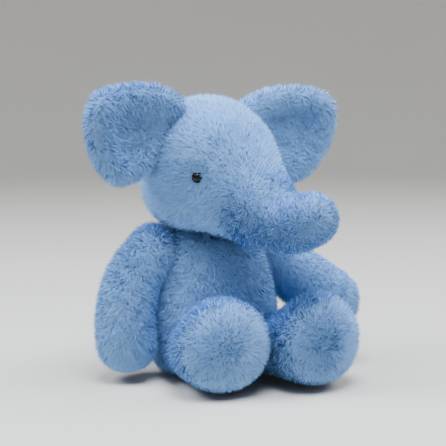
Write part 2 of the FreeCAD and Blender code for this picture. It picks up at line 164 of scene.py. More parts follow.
def make_floor():
    """A round sheet of paper: flat to FLOOR_FLAT from its middle, then turning up along a
    quarter circle to a wall that goes all the way round."""
    turn = np.linspace(0, 0.5 * math.pi, 24)
    out = np.concatenate([np.linspace(0, FLOOR_FLAT, 12)[1:],
                          FLOOR_FLAT + FLOOR_CURVE * np.sin(turn[1:])])
    rise = np.concatenate([np.zeros(11), FLOOR_CURVE * (1 - np.cos(turn[1:]))])
    around = np.linspace(0, 2 * math.pi, FLOOR_AROUND, endpoint=False)
    rings = np.stack([out[:, None] * np.cos(around), out[:, None] * np.sin(around),
                      np.repeat(rise[:, None], FLOOR_AROUND, 1)], -1)
    count = len(out) * FLOOR_AROUND
    first = np.arange(count).reshape(len(out), FLOOR_AROUND)
    after = np.roll(first, -1, axis=1)
    quads = np.stack([first[:-1], first[1:], after[1:], after[:-1]], -1).reshape(-1, 4)
    middle = np.stack([np.full(FLOOR_AROUND, count), first[0], after[0]], -1)
    points = np.vstack([rings.reshape(-1, 3), np.zeros((1, 3))])
    floor = mesh_piece("floor", points, quads.tolist() + middle.tolist())
    shade_smooth(floor)
    return floor


def make_studio():
    add_light("key", -14, 70, 1.5, 0.9, 44, (0.82, 0.92, 1.0))
    add_light("right", -100, 48, 1.6, 0.9, 30, (0.84, 0.93, 1.0))
    add_light("left", 75, 45, 1.6, 1.0, 22, (0.86, 0.94, 1.0))
    world = bpy.data.worlds.new("studio")
    world.use_nodes = True
    background = world.node_tree.nodes["Background"]
    background.inputs["Color"].default_value = (1.0, 0.94, 0.87, 1)
    background.inputs["Strength"].default_value = 0.20
    bpy.context.scene.world = world
    floor = make_floor()
    floor.data.materials.append(floor_finish())


# ---------------------------------------------------------------- meshes
def mesh_piece(name, points, faces):
    mesh = bpy.data.meshes.new(name)
    mesh.from_pydata(np.asarray(points).tolist(), [], [tuple(map(int, f)) for f in faces])
    mesh.update()
    obj = bpy.data.objects.new(name, mesh)
    bpy.context.scene.collection.objects.link(obj)
    return obj


def shade_smooth(obj):
    obj.data.polygons.foreach_set("use_smooth", np.ones(len(obj.data.polygons), bool))


def cubic(q, t):
    """At t, the cubic between points 1 and 2 of four neighbours in q, whose slope at each of
    them is half the chord from the point before to the point after."""
    n = t.astype(int)
    f = (t - n)[:, None]
    a, b, c, d = q[n], q[n + 1], q[n + 2], q[n + 3]
    return 0.5 * (2 * b + (c - a) * f + (2 * a - 5 * b + 4 * c - d) * f ** 2
                  + (3 * b - a - 3 * c + d) * f ** 3)


def smooth_line(points, count):
    """Points evenly spread in parameter along a smooth curve through the given ones."""
    p = np.asarray(points, float)
    before, after = 2 * p[0] - p[1], 2 * p[-1] - p[-2]
    q = np.vstack([before, p, after])
    return cubic(q, np.linspace(0, len(p) - 1 - 1e-9, count))


def closed_line(points, count):
    """The same smooth curve, closed on itself."""
    p = np.asarray(points, float)
    q = np.vstack([p[-1:], p, p[:2]])
    return cubic(q, np.linspace(0, len(p), count, endpoint=False))


def ring_grid(rings):
    """Faces of a closed skin: rows of quads between rings and a fan at each pole. The poles'
    two points come last."""
    count, around = rings.shape[:2]
    first = np.arange(count * around).reshape(count, around)
    after = np.roll(first, -1, axis=1)
    quads = np.stack([first[:-1], after[:-1], after[1:], first[1:]], -1).reshape(-1, 4)
    low, high = count * around, count * around + 1
    start = np.stack([np.full(around, low), after[0], first[0]], -1)
    end = np.stack([np.full(around, high), first[-1], after[-1]], -1)
    return [tuple(f) for f in quads.tolist() + start.tolist() + end.tolist()]


def triangles(mesh):
    """The three vertex numbers of each triangle."""
    mesh.calc_loop_triangles()
    tri = np.empty(len(mesh.loop_triangles) * 3, np.int32)
    mesh.loop_triangles.foreach_get("vertices", tri)
    return tri.reshape(-1, 3)


def outward(obj):
    """Turns the faces of a closed mesh outwards where its signed volume is negative."""
    corners = vertex_array(obj.data)[triangles(obj.data)]
    a, b, c = (corners[:, k] for k in range(3))
    if np.einsum("ij,ij->i", a, np.cross(b, c)).sum() < 0:
        obj.data.flip_normals()


def ring_skin(name, centres, sides, ups, wide, high, around=64):
    """A closed skin: an oval of half widths wide and high, set in the plane of sides and ups,
    at each centre, with a pole at the first and the last. The half widths are one value for a
    ring or one for each of its points."""
    turn = np.linspace(0, 2 * math.pi, around, endpoint=False)
    c, s = np.cos(turn)[None, :, None], np.sin(turn)[None, :, None]
    rings = (centres[:, None] + sides[:, None] * wide.reshape(len(wide), -1, 1) * c
             + ups[:, None] * high.reshape(len(high), -1, 1) * s)
    poles = np.stack([centres[0], centres[-1]])
    points = np.vstack([rings.reshape(-1, 3), poles])
    obj = mesh_piece(name, points, ring_grid(rings))
    outward(obj)
    shade_smooth(obj)
    return obj


def tube_stations(points, radii, count=40, cap=9):
    """Centres, ways and radii along a round limb with ball ends. The ends are rings of a
    half ball: shifted by the sine of an angle and shrunk by its cosine."""
    line = smooth_line(points, count)
    way = unit(np.gradient(line, axis=0))
    share = np.linspace(0, 1, count)
    radius = smooth_line(np.stack([np.linspace(0, 1, len(radii)), radii], 1), count)
    radius = np.interp(share, radius[:, 0], radius[:, 1])
    turn = np.radians(np.linspace(86, 8, cap))[:, None]
    start = line[0] - way[0] * radius[0] * np.sin(turn)
    end = line[-1] + way[-1] * radius[-1] * np.sin(turn[::-1])
    centres = np.vstack([start, line, end])
    ways = np.vstack([np.repeat(way[:1], cap, 0), way, np.repeat(way[-1:], cap, 0)])
    radius = np.concatenate([radius[0] * np.cos(turn[:, 0]), radius,
                             radius[-1] * np.cos(turn[::-1, 0])])
    return centres, ways, radius


def tube_skin(name, points, radii, reference, around=56):
    centres, ways, radius = tube_stations(points, radii)
    side = unit(np.cross(reference, ways))
    up = np.cross(ways, side)
    return ring_skin(name, centres, side, up, radius, radius, around)


def vertex_array(mesh, what="co"):
    values = np.empty(len(mesh.vertices) * 3, np.float32)
    mesh.vertices.foreach_get(what, values)
    return values.reshape(-1, 3).astype(float)


def set_vertices(mesh, co):
    mesh.vertices.foreach_set("co", np.asarray(co, np.float32).ravel())
    mesh.update()


# ---------------------------------------------------------------- uneven fields
def waves(wavelength, count, seed):
    """Directions, turns and phases of a field that is a sum of plane waves."""
    draw = np.random.default_rng(seed)
    way = unit(draw.normal(size=(count, 3)))
    pitch = 2 * math.pi / (wavelength * draw.uniform(0.75, 1.35, count))
    return way * pitch[:, None], draw.uniform(0, 2 * math.pi, count)


def rough(points, wavelength, seed, count=14):
    """A smooth uneven value from about -1 to 1 at each point."""
    k, phase = waves(wavelength, count, seed)
    return np.cos(points @ k.T + phase).sum(1) * math.sqrt(2 / count) * 0.7


def pull(points, wavelength, seed, count=14):
    """The downhill slope of that value, of length about 1: fibres that follow it draw
    together into tufts in its hollows and part along its ridges."""
    k, phase = waves(wavelength, count, seed)
    slope = np.sin(points @ k.T + phase) @ k
    return slope * wavelength / (2 * math.pi) * math.sqrt(2 / count)


# ---------------------------------------------------------------- materials
class Socket:
    """A shader value that sums, products and differences can be written with."""

    def __init__(self, tree, socket):
        self.tree, self.socket = tree, socket

    def maths(self, operation, other=None, swap=False):
        pair = [self, other] if not swap else [other, self]
        values = {n: v for n, v in enumerate(pair) if v is not None}
        return self.tree.node("ShaderNodeMath", {"operation": operation}, values)

    def __add__(self, other):
        return self.maths("ADD", other)

    def __sub__(self, other):
        return self.maths("SUBTRACT", other)

    def __mul__(self, other):
        return self.maths("MULTIPLY", other)

    def __rsub__(self, other):
        return self.maths("SUBTRACT", other, swap=True)

    __radd__ = __add__
    __rmul__ = __mul__


class Finish:
    """A material under construction, with one Principled shader."""

    def __init__(self, name, **constants):
        self.material = bpy.data.materials.new(name)
        self.material.use_nodes = True
        self.nodes = self.material.node_tree.nodes
        self.links = self.material.node_tree.links
        self.shader = self.nodes["Principled BSDF"]
        for key, value in constants.items():
            self.shader.inputs[key.replace("_", " ")].default_value = value

    def node(self, kind, settings=None, values=None, output=0):
        node = self.nodes.new(kind)
        for key, value in (settings or {}).items():
            if key == "stops":
                ramp = node.color_ramp
                for n, (at, colour) in enumerate(value):
                    stop = ramp.elements[n] if n < 2 else ramp.elements.new(at)
                    stop.position, stop.color = at, colour
            else:
                setattr(node, key, value)
        for key, value in (values or {}).items():
            self.feed(node.inputs[key], value)
        return Socket(self, node.outputs[output])

    def feed(self, target, value):
        if isinstance(value, Socket):
            self.links.new(value.socket, target)
        else:
            target.default_value = value

    def set(self, key, value):
        self.feed(self.shader.inputs[key], value)

    def split(self, place):
        """The three parts of a vector."""
        node = self.node("ShaderNodeSeparateXYZ", None, {0: place}).socket.node
        return [Socket(self, output) for output in node.outputs]

    def object_place(self):
        return self.node("ShaderNodeTexCoord", output="Object")

    def noise(self, place, scale, detail=3.0, roughness=0.5):
        return self.node("ShaderNodeTexNoise", None, {"Vector": place, "Scale": scale,
                                                      "Detail": detail, "Roughness": roughness})

    def mix(self, share, low, high):
        values = {0: share, 6: low, 7: high}
        return self.node("ShaderNodeMix", {"data_type": "RGBA"}, values, output=2)

    def ramp(self, share, stops):
        return self.node("ShaderNodeValToRGB", {"stops": stops}, {0: share})

    def bump(self, height, strength, distance):
        return self.node("ShaderNodeBump", None, {"Height": height, "Strength": strength,
                                                  "Distance": distance})


def pile_finish():
    """Long soft pile. The fibre's map holds its own random tone across and root to tip along; the colour darkens
    towards each fibre's root, painted shade of the depth in the pile.
    """
    f = Finish("pile_fibre", Roughness=0.7, Sheen_Weight=0.15, Sheen_Roughness=0.4,
               Specular_IOR_Level=0.15)
    f.set("Sheen Tint", (0.50, 0.74, 1.0, 1))
    shade, along, _ = f.split(f.node("ShaderNodeUVMap", {"uv_map": "OFBake"}))
    # each ramp darkens from tip to root: painted shade of the depth in the pile
    deep = f.ramp(along, [(0.0, (0.190, 0.350, 0.620, 1)), (0.45, (0.205, 0.395, 0.750, 1)),
                          (1.0, (0.215, 0.430, 0.850, 1))])
    light = f.ramp(along, [(0.0, (0.250, 0.450, 0.760, 1)), (0.45, (0.280, 0.520, 0.900, 1)),
                           (1.0, (0.310, 0.580, 0.980, 1))])
    f.set("Base Color", f.mix(shade, deep, light))
    return f.material


def cloth_finish():
    """Knitted backing cloth between the fibres: fine loops and a blotchy dye."""
    f = Finish("backing_cloth", Roughness=0.9, Sheen_Weight=0.2, Specular_IOR_Level=0.15)
    place = f.object_place()
    blotch = f.noise(place, 90.0, 4.0)
    loops = f.noise(place, 1100.0, 2.0)
    f.set("Base Color", f.mix(blotch * 0.6 + loops * 0.4, (0.180, 0.350, 0.640, 1),
                              (0.250, 0.460, 0.800, 1)))
    f.set("Normal", f.bump(loops, 0.6, 0.0006))
    return f.material


def bead_finish():
    """Polished black plastic with faint moulding ripples and a little dust."""
    f = Finish("bead_plastic", Coat_Weight=0.1, Coat_Roughness=0.05, Specular_IOR_Level=0.2)
    place = f.object_place()
    dust = f.noise(place, 1400.0, 3.0)
    f.set("Base Color", f.mix(dust, (0.002, 0.002, 0.002, 1), (0.006, 0.005, 0.005, 1)))
    f.set("Roughness", dust * 0.12 + 0.12)
    f.set("Normal", f.bump(f.noise(place, 260.0), 0.08, 0.0004))
    return f.material


def loose_finish(name, dark, light, scale, height):
    """A pale matt stuff with an uneven, fibrous or pebbled surface."""
    f = Finish(name, Specular_IOR_Level=0.25)
    place = f.object_place()
    grain = f.noise(place, scale, 5.0, 0.65)
    f.set("Base Color", f.mix(grain, dark, light))
    f.set("Roughness", grain * 0.15 + 0.75)
    f.set("Normal", f.bump(grain, 0.7, height))
    return f.material


def woven_finish(name, dark, light, pitch):
    """Plain weave: two sets of fine ribs at right angles."""
    f = Finish(name, Roughness=0.7, Sheen_Weight=0.15)
    place = f.object_place()
    x, y, z = f.split(place)
    turn = 2 * math.pi / pitch
    warp = (x * turn + y * turn).maths("SINE")
    weft = (z * turn).maths("SINE")
    weave = warp * weft * 0.5 + 0.5
    f.set("Base Color", f.mix(weave * 0.6 + f.noise(place, 300.0) * 0.4, dark, light))
    f.set("Normal", f.bump(weave, 0.5, pitch * 0.4))
    return f.material


def floor_finish():
    """Plain warm grey paper with a faint cloudiness."""
    f = Finish("floor_paper", Roughness=0.6, Specular_IOR_Level=0.2)
    place = f.object_place()
    f.set("Base Color", f.mix(f.noise(place, 3.0, 2.0), (0.69, 0.65, 0.60, 1),
                              (0.73, 0.69, 0.64, 1)))
    return f.material


# ---------------------------------------------------------------- stuffing
STUFFING_VOXEL = 4.5 * MM
STUFFING_PRESSURE = 4.0
STUFFING_FRAMES = 20
STUFFING_MOST = 3.0 * MM     # no point moves further than this
STUFFING_KEPT = 0.55         # share of the movement that is kept


def plump(obj):
    """Blows a skin up a little with the cloth solver, so that it looks stuffed. The skin is
    remeshed evenly first; no point moves past a cap, and the result is smoothed once."""
    scene = bpy.context.scene
    bpy.context.view_layer.objects.active = obj
    remesh = obj.modifiers.new("even", "REMESH")
    remesh.mode, remesh.voxel_size, remesh.use_smooth_shade = "VOXEL", STUFFING_VOXEL, True
    bpy.ops.object.modifier_apply(modifier="even")
    rest = vertex_array(obj.data)
    cloth = obj.modifiers.new("stuffed", "CLOTH")
    cloth.settings.use_pressure = True
    cloth.settings.uniform_pressure_force = STUFFING_PRESSURE
    cloth.settings.tension_stiffness = cloth.settings.compression_stiffness = 18
    cloth.settings.bending_stiffness = 0.8
    cloth.settings.effector_weights.gravity = 0.0
    cloth.point_cache.frame_start, cloth.point_cache.frame_end = 1, STUFFING_FRAMES
    for step in range(STUFFING_FRAMES):
        scene.frame_set(step + 1)
    done = obj.evaluated_get(bpy.context.evaluated_depsgraph_get())
    moved = vertex_array(done.data)
    obj.modifiers.clear()
    shift = moved - rest
    length = np.linalg.norm(shift, axis=1, keepdims=True)
    shift *= np.minimum(1.0, STUFFING_MOST / np.maximum(length, 1e-9))
    set_vertices(obj.data, rest + shift * STUFFING_KEPT)
    scene.frame_set(1)
    smooth = obj.modifiers.new("smooth", "SUBSURF")
    smooth.levels = smooth.render_levels = 1
    return obj


def finish_skin(obj):
    obj.data.materials.append(CLOTH)


# ---------------------------------------------------------------- pile
def surface(obj):
    """Triangles of a skin as corner places, corner normals and areas."""
    tri = triangles(obj.data)
    corners = vertex_array(obj.data)[tri]
    normal = vertex_array(obj.data, "normal")[tri]
    a, b, c = (corners[:, k] for k in range(3))
    area = 0.5 * np.linalg.norm(np.cross(b - a, c - a), axis=1)
    return corners, normal, area


def scatter(obj, density, seed):
    """Root places and normals spread evenly by area: one root in each equal share of the
    running total of the triangles' areas, at a point from two even draws folded into the
    triangle."""
    places, normals, area = surface(obj)
    draw = np.random.default_rng(seed)
    count = int(area.sum() * density)
    even = (np.arange(count) + draw.random(count)) / count
    pick = np.minimum(np.searchsorted(np.cumsum(area) / area.sum(), even), len(area) - 1)
    s, t = draw.random(count), draw.random(count)
    fold = s + t > 1
    s[fold], t[fold] = 1 - s[fold], 1 - t[fold]
    w = np.stack([1 - s - t, s, t], 1)[..., None]
    return (places[pick] * w).sum(1), unit((normals[pick] * w).sum(1))


def fibres(name, roots, normals, flow, length, seed):
    """Each fibre is a narrow kite bent at its middle. It leaves the cloth near its normal and
    bends along its flow, towards the hollows of two uneven fields, which gathers it into
    locks beside each other, and a little at random. The kites are turned about themselves at
    random, and shade as something between the kite's own face and the cloth under it."""
    draw = np.random.default_rng(seed)
    n = len(roots)
    flow = across_normal(flow, normals)
    strength = np.linalg.norm(flow, axis=1, keepdims=True)
    flow = flow / (strength + 0.4)
    comb = unit(flow)
    big = across_normal(pull(roots, BIG_LOCK, 11), normals)
    small = across_normal(pull(roots, SMALL_LOCK, 12), normals)
    small -= comb * (small * comb).sum(1, keepdims=True) * 0.6
    drift = (big * 0.55 + small * 0.55) * TUFT
    stray = draw.normal(size=(n, 3)) * 0.17
    long = (length * draw.uniform(0.72, 1.15, n))[:, None]
    first = unit(normals + flow * FIBRE_LEAN * 0.8 + drift * 0.4 + stray)
    second = unit(normals * 0.60 + flow * FIBRE_LEAN * 1.5 + drift + stray * 1.7)
    middle = roots + first * long * 0.5
    tip = middle + second * long * 0.5
    middle[:, 2] = np.maximum(middle[:, 2], 0.5 * MM)
    tip[:, 2] = np.maximum(tip[:, 2], 0.4 * MM)
    facing = unit(across_normal(normals, first) + 1e-6)
    roll = draw.uniform(-1.15, 1.15, n)[:, None]
    across = unit(np.cross(facing, first) * np.cos(roll) + facing * np.sin(roll))
    half = across * (0.5 * FIBRE_WIDTH * draw.uniform(0.8, 1.2, n))[:, None]
    points = np.stack([roots, middle - half, middle + half, tip], 1)
    low, high = unit(np.cross(first, across)), unit(np.cross(second, across))
    turned = ((low * normals).sum(1) < 0)[:, None, None]
    points[:, 1:3] = np.where(turned, points[:, 2:0:-1], points[:, 1:3])
    low, high = np.where(turned[:, 0], -low, low), np.where(turned[:, 0], -high, high)
    soft = normals * 0.7
    shine = np.stack([unit(soft + low * 0.3), unit(soft + (low + high) * 0.15),
                      unit(soft + (low + high) * 0.15), unit(soft + high * 0.3)], 1)
    shade = 0.5 + 0.14 * rough(roots, 4 * MM, 20) + 0.14 * rough(roots, 12 * MM, 21)
    shade = np.clip(shade + draw.normal(size=n) * 0.16, 0.03, 0.97)
    across_map = shade[:, None] + vec(0, -1, 1, 0) * 0.004
    # root to tip; the pile's finish darkens the colour towards the root as painted shade of the pile's depth
    along_map = np.broadcast_to(vec(0.02, 0.5, 0.5, 0.98), (n, 4))
    return kites(name, points, shine, np.stack([across_map, along_map], -1))


def across_normal(way, normals):
    """The part of each way that lies along the surface."""
    return way - normals * (way * normals).sum(1, keepdims=True)


def kites(name, points, shine, place):
    """One mesh of all fibres, two triangles each, with its own shading normals."""
    n = len(points)
    mesh = bpy.data.meshes.new(name)
    mesh.vertices.add(n * 4)
    mesh.vertices.foreach_set("co", points.astype(np.float32).ravel())
    corner = (np.arange(n)[:, None] * 4 + np.array([0, 1, 2, 2, 1, 3])).ravel()
    mesh.loops.add(len(corner))
    mesh.loops.foreach_set("vertex_index", corner.astype(np.int32))
    mesh.polygons.add(n * 2)
    mesh.polygons.foreach_set("loop_start", np.arange(0, n * 6, 3, dtype=np.int32))
    layer = mesh.uv_layers.new(name="OFBake")
    layer.data.foreach_set("uv", place.reshape(-1, 2)[corner].astype(np.float32).ravel())
    mesh.polygons.foreach_set("use_smooth", np.ones(n * 2, bool))
    normal = mesh.attributes.new("custom_normal", "FLOAT_VECTOR", "POINT")
    normal.data.foreach_set("vector", shine.astype(np.float32).ravel())
    mesh.update(calc_edges=True)
    obj = bpy.data.objects.new(name, mesh)
    bpy.context.scene.collection.objects.link(obj)
    mesh.materials.append(PILE_FINISH)
    return obj


# ---------------------------------------------------------------- body
BODY_HALF_WIDTH = 52 * MM
BODY_HALF_DEPTH = 48 * MM
BODY_FOOT = 1.6 * MM         # the cloth's lowest level, by the pile under it
BODY_RISE = 3 * MM           # how far the cloth reaches into the neck
# share of the height, share of the greatest half width
BODY_PROFILE = vec((0.0, 0.58), (0.05, 0.78), (0.14, 0.90), (0.28, 0.98), (0.42, 1.0),
                   (0.58, 0.955), (0.72, 0.87), (0.85, 0.78), (0.95, 0.66), (1.0, 0.40))


def make_body():
    """The pear: ovals stacked up its profile, drawn in at the floor and closed at the neck."""
    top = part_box("body_back_panel")[1][2] + BODY_RISE
    half_wide = BODY_HALF_WIDTH - CLOTH_INSET
    half_deep = BODY_HALF_DEPTH - CLOTH_INSET
    curve = smooth_line(BODY_PROFILE, 44)
    level = BODY_FOOT + (top - BODY_FOOT) * curve[:, 0]
    out = np.concatenate([[0.25, 0.45], curve[:, 1], [0.25, 0.1]])
    level = np.concatenate([[level[0], level[0]], level, [top + 1.5 * MM, top + 2.0 * MM]])
    centres = np.stack([level * 0, level * 0, level], 1)
    n = len(level)
    skin = ring_skin("body_cover", centres, np.tile(vec(1, 0, 0), (n, 1)),
                     np.tile(vec(0, 1, 0), (n, 1)), half_wide * out, half_deep * out, 72)
    return plump(skin)


# ---------------------------------------------------------------- head and trunk
MUZZLE_FULLER = 1.7 * MM     # than the plain solid
TRUNK_BLUNT = 1.08           # length of the trunk's rounded end over its radius
JOWL = 7.5 * MM


def face_line():
    """Stations along the head and trunk: ring centres, ways and radii. The back of the head
    is a half ball, the muzzle tapers along the face's axis, and the trunk follows an arc that
    dips and curls up, ending in a blunt rounded tip."""
    r = HEAD_RADIUS - CLOTH_INSET
    m = MUZZLE_RADIUS - CLOTH_INSET + MUZZLE_FULLER
    turn = np.radians(np.linspace(87, 4, 16))
    back_at, back_r = -r * np.sin(turn), r * np.cos(turn)
    profile = smooth_line([(0, r), (0.24 * MUZZLE_LENGTH, 0.955 * r),
                           (0.46 * MUZZLE_LENGTH, 0.80 * r), (0.68 * MUZZLE_LENGTH, 0.635 * r),
                           (0.88 * MUZZLE_LENGTH, m + 1.2 * MM), (MUZZLE_LENGTH, m)], 26)
    at = np.concatenate([back_at, profile[:, 0]])
    radius = np.concatenate([back_r, profile[:, 1]])
    centres = HEAD + FACE_WAY * at[:, None]
    ways = np.tile(FACE_WAY, (len(at), 1))
    pitch = np.linspace(-FACE_DROP, TRUNK_CURL, 26)[1:]
    ahead = TRUNK_BEND_RADIUS * (np.sin(pitch) + math.sin(FACE_DROP))
    rise = TRUNK_BEND_RADIUS * (math.cos(FACE_DROP) - np.cos(pitch))
    trunk = TRUNK_PIVOT + FORWARD * ahead[:, None] + UP * rise[:, None]
    trunk_way = FORWARD * np.cos(pitch)[:, None] + UP * np.sin(pitch)[:, None]
    trunk_r = smooth_line(np.stack([np.linspace(0, 1, 4), TRUNK_RADII - TRUNK_INSET], 1), 26)
    trunk_r = trunk_r[1:, 1]
    trunk_r[0] = 0.5 * (trunk_r[0] + m)
    end_r, end_way = trunk_r[-1], trunk_way[-1]
    turn = np.radians(np.linspace(6, 86, 12))
    tip = trunk[-1] + end_way * (end_r * TRUNK_BLUNT * np.sin(turn))[:, None]
    centres = np.vstack([centres, trunk, tip])
    ways = np.vstack([ways, trunk_way, np.tile(end_way, (12, 1))])
    radius = np.concatenate([radius, trunk_r, end_r * np.cos(turn) ** 0.8])
    return centres, ways, radius


TIP_WAY = FORWARD * math.cos(TRUNK_CURL) + UP * math.sin(TRUNK_CURL)
TIP = (TRUNK_PIVOT + FORWARD * TRUNK_BEND_RADIUS * (math.sin(TRUNK_CURL) + math.sin(FACE_DROP))
       + UP * TRUNK_BEND_RADIUS * (math.cos(FACE_DROP) - math.cos(TRUNK_CURL)))


def make_head():
    """The head's rings bulge into a jowl below each cheek, where the head rests on the body."""
    centres, ways, radius = face_line()
    sides = np.tile(ACROSS, (len(radius), 1))
    ups = np.cross(sides, ways)
    around = 72
    turn = np.degrees(np.linspace(0, 2 * math.pi, around, endpoint=False))
    at = (centres - HEAD) @ FACE_WAY / MM
    jowl = sum(np.exp(-((turn - way) / 32) ** 2) for way in (50, 130))
    reach = np.exp(-((at - 4) / 26) ** 2) * (radius / radius.max())
    full = radius[:, None] + JOWL * reach[:, None] * jowl
    return plump(ring_skin("head_cover", centres, sides, ups, full, full, around))


# ---------------------------------------------------------------- ears
EAR_RISE = math.radians(23.6)
EAR_RIM = {"right": vec((62, -2), (73, -6), (85, -8), (94, -5), (103, 5), (110, 20),
                        (113, 39), (107, 51), (89, 55), (67, 57), (50, 55), (33, 47),
                        (36, 30), (45, 10)) * MM,
           "left": vec((62, -6), (73, -13), (86, -14), (97, -10), (108, 1), (117, 18),
                       (119, 38), (112, 50), (93, 54), (71, 53), (52, 47), (34, 39),
                       (36, 26), (46, 7)) * MM}
EAR_MIDDLE = vec(80, 21) * MM
EAR_HOLLOW = vec(68, 25) * MM        # the deepest place of the cup
EAR_CUP_RADIUS = 66 * MM
EAR_CUP_SETBACK = 7 * MM
EAR_HALF_THICK = 4.0 * MM
EAR_ROLL = 3.4 * MM                  # how far the rim's front stands proud
EAR_SWEEP = {"right": math.radians(-2), "left": math.radians(9)}
EAR_SETBACK = 2 * MM
EAR_ROOT_GAP = 3.4 * MM      # from the head's plain surface to the ear's root


def make_ear(side):
    """A cushion between two faces that share a rim. Rings shrink from the rim to the middle
    on the front and again on the back; both lie on a bowl that opens forward, deepest near
    the ear's root, and the front is rolled up into a soft ridge inside the rim."""
    sign = -1 if side == "right" else 1
    rim = closed_line(EAR_RIM[side], 96)
    turn = np.radians(np.linspace(4, 176, 44))
    reach = np.sin(turn) ** 0.42
    off = np.sign(np.cos(turn)) * np.abs(np.cos(turn)) ** 0.7 * EAR_HALF_THICK
    flat = EAR_MIDDLE + (rim - EAR_MIDDLE)[None] * (reach[:, None, None])
    away = np.linalg.norm(flat - EAR_HOLLOW, axis=-1)
    front = (turn < 0.5 * math.pi)[:, None]
    upper = 0.6 + 0.4 * np.clip((rim[:, 1] - 10 * MM) / (30 * MM), 0, 1)
    ridge = EAR_ROLL * np.exp(-((reach - 0.76) / 0.17) ** 2)[:, None] * front * upper
    bowl = -away ** 2 / (2 * EAR_CUP_RADIUS) + EAR_CUP_SETBACK
    rings = np.stack([flat[..., 0], bowl - off[:, None] - ridge, flat[..., 1]], -1)
    root = vec(math.cos(EAR_RISE), 0, math.sin(EAR_RISE)) * (HEAD_RADIUS + EAR_ROOT_GAP)
    sweep = EAR_SWEEP[side]
    shift = rings - root
    x = shift[..., 0] * math.cos(sweep) + shift[..., 1] * math.sin(sweep)
    y = -shift[..., 0] * math.sin(sweep) + shift[..., 1] * math.cos(sweep)
    turned = np.stack([x, y, shift[..., 2]], -1) + root
    turned[..., 1] += EAR_SETBACK
    turned[..., 0] *= sign
    rings = in_head(turned)
    poles = np.stack([rings[0].mean(0), rings[-1].mean(0)])
    obj = mesh_piece(side + "_ear_cover", np.vstack([rings.reshape(-1, 3), poles]),
                     ring_grid(rings))
    outward(obj)
    shade_smooth(obj)
    return obj


# ---------------------------------------------------------------- limbs
ARM_LINES = {"right": vec((-48, 0, 99), (-67, -4, 77), (-75, -8, 52), (-74, -8, 28)) * MM,
             "left": vec((45, 2, 95), (62, -8, 83), (80, -17, 70), (96, -25, 57)) * MM}
ARM_RADII = vec(20.5, 21.0, 21.5, 22.0) * MM
LEG_RAISE = 1.1 * MM         # the legs' cloth stands off the floor by the pile under it
SOLE_INSET = 2.6 * MM
FEET = {"right": vec(-25, -74) * MM, "left": vec(48, -84) * MM}
HIP_RADIUS, THIGH_RADIUS, FOOT_RADIUS, FOOT_DEPTH = (v * MM for v in (22.5, 25, 35, 26))


def make_arm(side):
    line = ARM_LINES[side] + pivot(side + "_arm_swing") - ARM_LINES[side][0]
    return plump(tube_skin(side + "_arm_cover", line, ARM_RADII - CLOTH_INSET, vec(0, 1, 0.2)))


def leg_way(side):
    """The hip's place, the level way to the foot and the distance to it."""
    hip = pivot(side + "_leg_lift")
    way = FEET[side] - hip[:2]
    run = float(np.linalg.norm(way))
    return hip, vec(way[0] / run, way[1] / run, 0), run


def make_leg(side):
    """A leg along the floor: a half ball at the hip, a thigh that widens into the foot, and a
    broad cushioned sole."""
    hip, way, run = leg_way(side)
    turn = np.radians(np.linspace(86, 8, 9))
    hip_r = HIP_RADIUS - CLOTH_INSET
    shape = smooth_line([(0, HIP_RADIUS), (0.30 * run, 0.5 * (HIP_RADIUS + THIGH_RADIUS)),
                         (0.55 * run, THIGH_RADIUS + 1 * MM), (0.80 * run, 0.90 * FOOT_RADIUS),
                         (run, FOOT_RADIUS), (run + 0.40 * FOOT_DEPTH, 0.955 * FOOT_RADIUS),
                         (run + 0.72 * FOOT_DEPTH, 0.80 * FOOT_RADIUS),
                         (run + 0.90 * FOOT_DEPTH, 0.56 * FOOT_RADIUS),
                         (run + 0.99 * FOOT_DEPTH, 0.26 * FOOT_RADIUS),
                         (run + FOOT_DEPTH, 0.05 * FOOT_RADIUS)], 60)
    past = np.maximum(0, shape[:, 0] - run) / FOOT_DEPTH
    at = np.concatenate([-hip_r * np.sin(turn), shape[:, 0] - past * SOLE_INSET])
    radius = np.concatenate([hip_r * np.cos(turn),
                             shape[:, 1] - np.minimum(CLOTH_INSET, 0.5 * shape[:, 1])])
    solid_r = np.where(at <= run, np.concatenate([np.full(9, HIP_RADIUS), shape[:, 1]]),
                       FOOT_RADIUS)
    centres = hip[None] * vec(1, 1, 0) + way * at[:, None] + UP * (solid_r + LEG_RAISE)[:, None]
    n = len(at)
    side_way = np.tile(np.cross(UP, way), (n, 1))
    skin = ring_skin(side + "_leg_cover", centres, side_way, np.tile(UP, (n, 1)), radius,
                     radius, 64)
    return plump(skin)


TAIL_LINE = vec((0, 51, 46), (0, 61, 35), (0, 66.5, 22), (0, 68.5, 13)) * MM
TAIL_RADII = vec(6.5, 6.5, 7.0, 7.5) * MM


def make_tail():
    line = TAIL_LINE + pivot("tail_lift") - TAIL_LINE[0]
    return tube_skin("tail_cover_cloth", line, TAIL_RADII - 2.2 * MM, vec(1, 0, 0), 28)


# ---------------------------------------------------------------- pile on each cover
SHORTEST = 0.05              # share of the full length below which no fibre grows
EYE_AHEAD = 9.3 * MM         # from the washer's middle out to the bead
EYE_BARE = 4.0 * MM          # no fibres this near the bead's middle
TRUNK_FROM = 38 * MM         # along the face's axis, where the trunk's pile starts
BACK_TO = -12 * MM           # and where the pile of the head's back ends


def grow(name, skin, flow_at, length_at=None, seed=1, split=None):
    """Grows one pile piece, or one for each part that split names. flow_at gives the way the
    pile is combed at a root and length_at its share of the full length."""
    roots, normals = scatter(skin, PILE_DENSITY, seed)
    scale = np.ones(len(roots)) if length_at is None else length_at(roots, normals)
    alive = scale > SHORTEST
    roots, normals, scale = roots[alive], normals[alive], scale[alive]
    made = {}
    parts = {name: np.ones(len(roots), bool)} if split is None else split(roots)
    for order, (part, mask) in enumerate(parts.items()):
        flow = flow_at(roots[mask], normals[mask])
        made[part] = fibres(part, roots[mask], normals[mask], flow, PILE * scale[mask],
                            seed * 100 + order)
    return made


